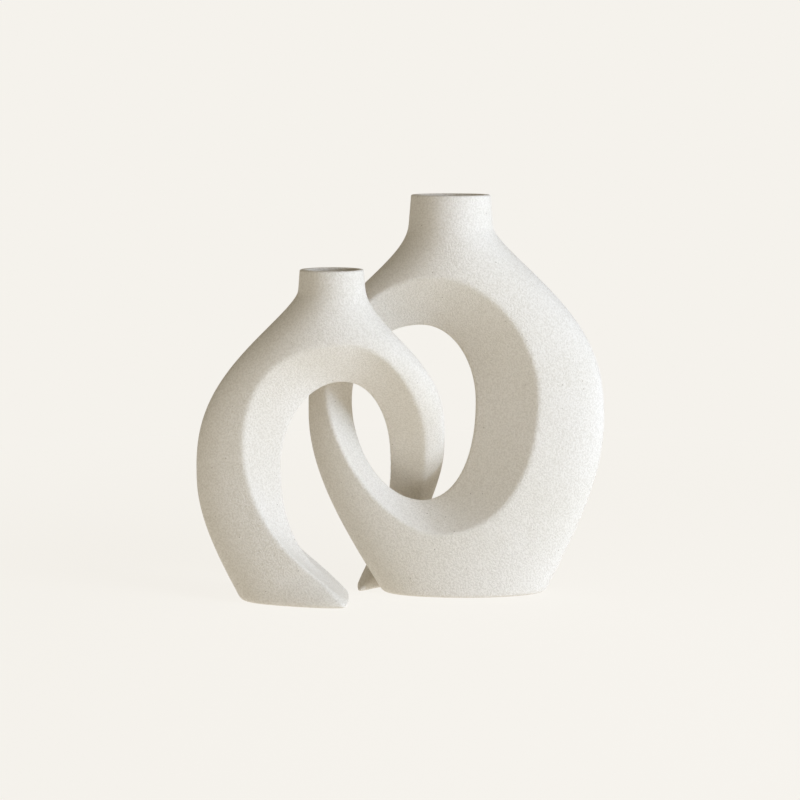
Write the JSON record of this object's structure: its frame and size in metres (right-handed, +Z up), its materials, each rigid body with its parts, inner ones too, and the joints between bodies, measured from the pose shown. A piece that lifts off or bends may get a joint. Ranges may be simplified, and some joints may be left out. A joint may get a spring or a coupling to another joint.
{
  "type": "interlocking ring vase pair",
  "caption": "Tall flattened ring vase with a shorter arch vase linked through its hole; both are hollow stoneware bottles with round open necks.",
  "frame": {"origin": "on the floor, on the axis of the large vase's neck", "axes": "+X to the right along the vases' broad faces, +Y to the back, +Z up out of the large mouth"},
  "size_m": [0.253, 0.1024, 0.25],
  "materials": {
    "stoneware": "unglazed, matt, fine sandy grain"
  },
  "bodies": {
    "large_vase": {"large_ring_vase": "stoneware"},
    "small_vase": {"small_arch_vase": "stoneware"}
  },
  "joints": [
    {"name": "small_vase_lift", "type": "slide", "parent": "large_vase", "child": "small_vase", "axis": [-0.6, 0, 0.8], "range_m": [0, 0.02]}
  ]
}
